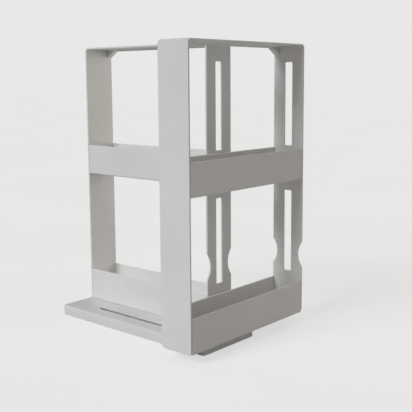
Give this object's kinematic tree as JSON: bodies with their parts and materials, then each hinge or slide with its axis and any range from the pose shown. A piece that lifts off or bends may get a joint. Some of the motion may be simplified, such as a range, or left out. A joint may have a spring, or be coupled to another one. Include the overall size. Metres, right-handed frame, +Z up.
{
  "type": "pull-out swivel storage rack",
  "caption": "Low slotted base tray carrying tall narrow open racks with raised-edge shelves; each rack pulls forward along its slot and swivels on a pin to face the user.",
  "frame": {"origin": "centre of the base tray on the shelf plane, on the underside of the centre foot", "axes": "+Z up, -Y towards the user, +X to the user's right"},
  "size_m": [0.2265, 0.28, 0.3762],
  "materials": {
    "white_plastic": "satin injection-moulded white plastic",
    "glide_nylon": "smooth grey nylon",
    "foot_rubber": "matt dark rubber",
    "pivot_steel": "zinc-plated steel"
  },
  "bodies": {
    "base": {"base_tray": "white_plastic", "front_left_foot": "foot_rubber", "front_right_foot": "foot_rubber", "rear_left_foot": "foot_rubber", "rear_right_foot": "foot_rubber", "centre_foot": "foot_rubber", "left_slider_shoe": "glide_nylon", "left_retaining_washer": "pivot_steel", "right_slider_shoe": "glide_nylon", "right_retaining_washer": "pivot_steel"},
    "left_rack": {"left_solid_end_panel": "white_plastic", "left_slotted_end_panel": "white_plastic", "left_lower_tray": "white_plastic", "left_middle_tray": "white_plastic", "left_top_panel": "white_plastic", "left_pivot_pin": "pivot_steel", "left_turn_ring": "glide_nylon", "left_rear_glide_pad": "glide_nylon", "left_front_glide_pad": "glide_nylon"},
    "right_rack": {"right_solid_end_panel": "white_plastic", "right_slotted_end_panel": "white_plastic", "right_lower_tray": "white_plastic", "right_middle_tray": "white_plastic", "right_top_panel": "white_plastic", "right_pivot_pin": "pivot_steel", "right_turn_ring": "glide_nylon", "right_rear_glide_pad": "glide_nylon", "right_front_glide_pad": "glide_nylon"}
  },
  "joints": [
    {"name": "left_rack_swivel", "type": "hinge", "parent": "base", "child": "left_rack", "pos_m": [-0.0255, -0.123, 0.0143], "axis": [0, 0, 1], "range_deg": [-90, 0]},
    {"name": "right_rack_swivel", "type": "hinge", "parent": "base", "child": "right_rack", "pos_m": [0.0255, 0.0695, 0.0143], "axis": [0, 0, 1], "range_deg": [-90, 0]}
  ]
}
